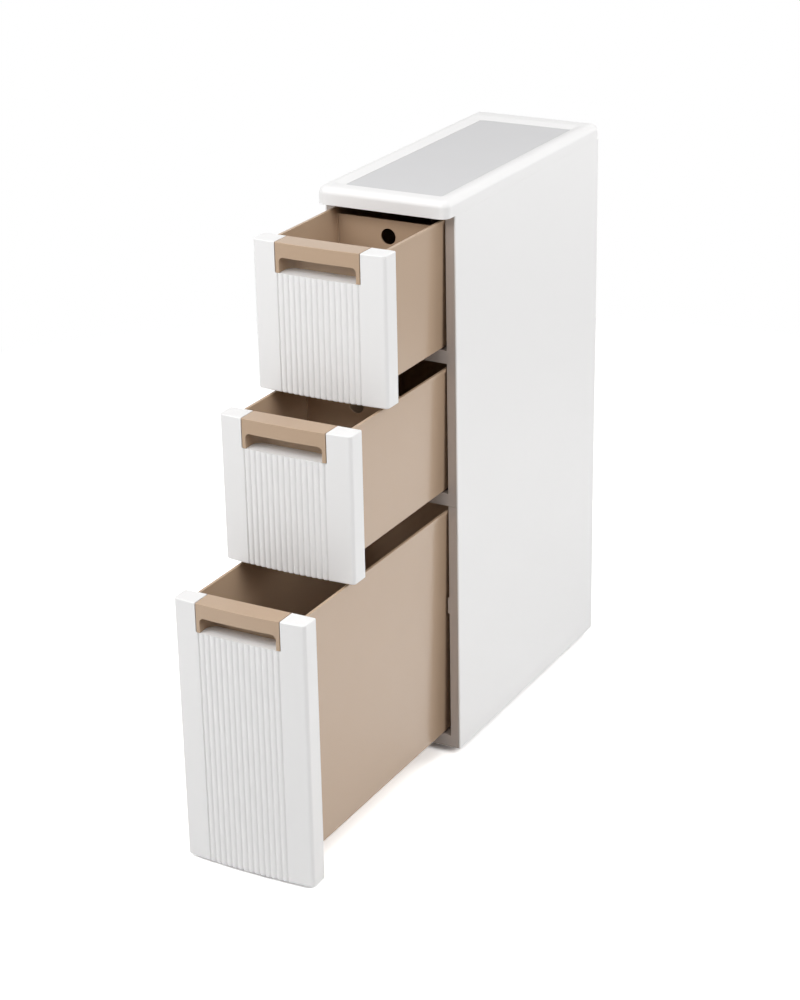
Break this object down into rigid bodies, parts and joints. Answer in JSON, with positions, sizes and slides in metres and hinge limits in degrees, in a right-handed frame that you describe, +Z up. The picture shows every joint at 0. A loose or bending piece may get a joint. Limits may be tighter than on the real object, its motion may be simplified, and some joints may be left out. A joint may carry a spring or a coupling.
{
  "type": "rolling drawer cart",
  "caption": "Slim upright storage tower on small floor rollers, with shallow drawers over one deep drawer, ribbed bowed fronts with recessed finger grips and a rimmed flat top.",
  "frame": {"origin": "floor level, middle of the floor area that the cart covers as it stands with its drawers open; the front face of the cabinet's frame lies 17.425 mm in front of it", "axes": "+Z up, +Y from the drawer fronts towards the back of the cabinet, +X to the right as seen from the front"},
  "size_m": [0.18, 0.7912, 0.752],
  "materials": {
    "white_plastic": "white injection-moulded plastic with a soft satin sheen",
    "taupe_plastic": "taupe injection-moulded plastic, fine matt grain",
    "tan_plastic": "tan injection-moulded plastic, smooth satin gloss",
    "pale_grey_mat": "pale grey inlaid sheet, fine even texture",
    "roller_plastic": "dark grey hard plastic, matt tread",
    "axle_steel": "drawn steel pin"
  },
  "bodies": {
    "cabinet": {"side_panel_left": "white_plastic", "side_panel_right": "white_plastic", "back_panel": "white_plastic", "front_frame_upper": "taupe_plastic", "front_frame_lower": "taupe_plastic", "top_cover": "white_plastic", "top_mat": "pale_grey_mat", "shelf_upper": "taupe_plastic", "shelf_lower": "taupe_plastic", "base_plate": "taupe_plastic", "axle_front_left": "axle_steel", "axle_front_right": "axle_steel", "axle_rear_left": "axle_steel", "axle_rear_right": "axle_steel"},
    "top_drawer": {"drawer_top_box": "tan_plastic", "drawer_top_front": "white_plastic", "drawer_top_grip": "tan_plastic", "drawer_top_divider": "tan_plastic"},
    "middle_drawer": {"drawer_middle_box": "tan_plastic", "drawer_middle_front": "white_plastic", "drawer_middle_grip": "tan_plastic", "drawer_middle_divider": "tan_plastic"},
    "bottom_drawer": {"drawer_bottom_box": "tan_plastic", "drawer_bottom_front": "white_plastic", "drawer_bottom_grip": "tan_plastic"},
    "front_left_roller": {"roller_front_left": "roller_plastic"},
    "front_right_roller": {"roller_front_right": "roller_plastic"},
    "rear_left_roller": {"roller_rear_left": "roller_plastic"},
    "rear_right_roller": {"roller_rear_right": "roller_plastic"}
  },
  "joints": [
    {"name": "top_drawer_slide", "type": "slide", "parent": "cabinet", "child": "top_drawer", "axis": [0, -1, 0], "range_m": [-0.145, 0.213]},
    {"name": "middle_drawer_slide", "type": "slide", "parent": "cabinet", "child": "middle_drawer", "axis": [0, -1, 0], "range_m": [-0.233, 0.125]},
    {"name": "bottom_drawer_slide", "type": "slide", "parent": "cabinet", "child": "bottom_drawer", "axis": [0, -1, 0], "range_m": [-0.348, 0.01]},
    {"name": "front_left_roller_spin", "type": "hinge", "parent": "cabinet", "child": "front_left_roller", "pos_m": [-0.06, 0.02057, 0.0115], "axis": [1, 0, 0], "continuous": true},
    {"name": "front_right_roller_spin", "type": "hinge", "parent": "cabinet", "child": "front_right_roller", "pos_m": [0.06, 0.02057, 0.0115], "axis": [1, 0, 0], "continuous": true},
    {"name": "rear_left_roller_spin", "type": "hinge", "parent": "cabinet", "child": "rear_left_roller", "pos_m": [-0.06, 0.36757, 0.0115], "axis": [1, 0, 0], "continuous": true},
    {"name": "rear_right_roller_spin", "type": "hinge", "parent": "cabinet", "child": "rear_right_roller", "pos_m": [0.06, 0.36757, 0.0115], "axis": [1, 0, 0], "continuous": true}
  ]
}
